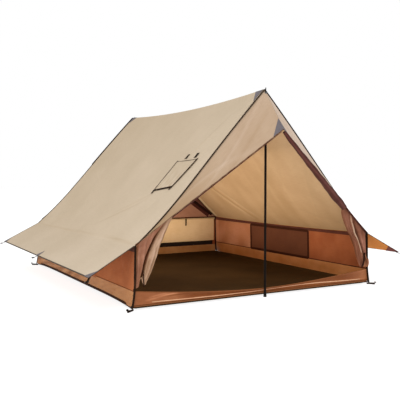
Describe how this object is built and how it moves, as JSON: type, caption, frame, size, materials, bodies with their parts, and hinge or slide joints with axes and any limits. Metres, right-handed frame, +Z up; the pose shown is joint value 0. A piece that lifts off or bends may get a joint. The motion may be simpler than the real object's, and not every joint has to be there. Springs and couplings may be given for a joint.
{
  "type": "ridge tent",
  "caption": "Two-pole canvas ridge tent with side wings, low walls with window covers, a hooded visor at each end, an open front door and a stove-pipe panel.",
  "frame": {"origin": "middle of the groundsheet, on the ground", "axes": "+Z up, -Y out of the door, +X towards the tent's right side as it is seen from the door"},
  "size_m": [4.0374, 4.1966, 2.2149],
  "materials": {
    "roof_canvas": "matt beige cotton canvas",
    "visor_canvas": "matt tan cotton canvas",
    "wall_canvas": "matt rust-brown canvas",
    "mud_wall_cloth": "coated rust-brown cloth",
    "groundsheet_cloth": "coated dark brown cloth",
    "window_net": "dark brown insect net",
    "webbing": "woven dark brown tape",
    "heat_proof_cloth": "grey coated glass cloth",
    "painted_steel": "dark powder coat",
    "rubber": "matt black",
    "toggle_plastic": "matt dark plastic"
  },
  "bodies": {
    "tent": {"groundsheet": "groundsheet_cloth", "roof_left": "roof_canvas", "roof_right": "roof_canvas", "front_visor": "visor_canvas", "rear_visor": "visor_canvas", "rear_gable": "visor_canvas", "wall_left": "wall_canvas", "wall_right": "wall_canvas", "wall_rear": "wall_canvas", "mud_wall_left": "mud_wall_cloth", "mud_wall_right": "mud_wall_cloth", "mud_wall_rear": "mud_wall_cloth", "door_sill": "mud_wall_cloth", "window_net_left": "window_net", "window_net_right": "window_net", "rear_vent_net": "window_net", "door_leaf_left": "visor_canvas", "door_leaf_right": "visor_canvas", "door_tie_left": "webbing", "door_tie_right": "webbing", "stove_panel": "heat_proof_cloth", "stove_strap_front": "webbing", "stove_strap_rear": "webbing", "front_edge_webbing": "webbing", "rear_edge_webbing": "webbing", "wing_strap_front_left": "webbing", "wing_strap_front_right": "webbing", "wing_strap_middle_left": "webbing", "wing_strap_middle_right": "webbing", "wing_strap_rear_left": "webbing", "wing_strap_rear_right": "webbing", "wing_toggle_front_left": "toggle_plastic", "wing_toggle_front_right": "toggle_plastic", "wing_toggle_middle_left": "toggle_plastic", "wing_toggle_middle_right": "toggle_plastic", "wing_toggle_rear_left": "toggle_plastic", "wing_toggle_rear_right": "toggle_plastic", "peg_strap_front_left": "webbing", "peg_strap_front_right": "webbing", "peg_strap_rear_left": "webbing", "peg_strap_rear_right": "webbing", "peg_front_left": "painted_steel", "peg_front_right": "painted_steel", "peg_rear_left": "painted_steel", "peg_rear_right": "painted_steel", "front_pole_foot": "rubber", "front_pole_lower": "painted_steel", "front_pole_middle": "painted_steel", "front_pole_upper": "painted_steel", "rear_pole_foot": "rubber", "rear_pole_lower": "painted_steel", "rear_pole_middle": "painted_steel", "rear_pole_upper": "painted_steel"},
    "stove_flap": {"stove_flap": "roof_canvas"},
    "window_cover_left": {"window_cover_left": "wall_canvas"},
    "window_cover_right": {"window_cover_right": "wall_canvas"},
    "rear_vent_cover_left": {"rear_vent_cover_left": "visor_canvas", "rear_cover_tie_left": "webbing"},
    "rear_vent_cover_right": {"rear_vent_cover_right": "visor_canvas", "rear_cover_tie_right": "webbing"}
  },
  "joints": [
    {"name": "stove_flap_hinge", "type": "hinge", "parent": "tent", "child": "stove_flap", "pos_m": [-0.658, -1.27142, 1.46118], "axis": [0, 0.9994, -0.0347], "range_deg": [0, 150]},
    {"name": "window_cover_left_hinge", "type": "hinge", "parent": "tent", "child": "window_cover_left", "pos_m": [-1.48839, 0, 0.575], "axis": [0, 1, 0], "range_deg": [0, 55]},
    {"name": "window_cover_right_hinge", "type": "hinge", "parent": "tent", "child": "window_cover_right", "pos_m": [1.48839, 0, 0.575], "axis": [0, -1, 0], "range_deg": [0, 55]},
    {"name": "rear_vent_cover_left_hinge", "type": "hinge", "parent": "tent", "child": "rear_vent_cover_left", "pos_m": [-0.75525, 1.7437, 0.595], "axis": [-1, 0, 0], "range_deg": [0, 90]},
    {"name": "rear_vent_cover_right_hinge", "type": "hinge", "parent": "tent", "child": "rear_vent_cover_right", "pos_m": [0.75525, 1.7437, 0.595], "axis": [-1, 0, 0], "range_deg": [0, 90]}
  ]
}
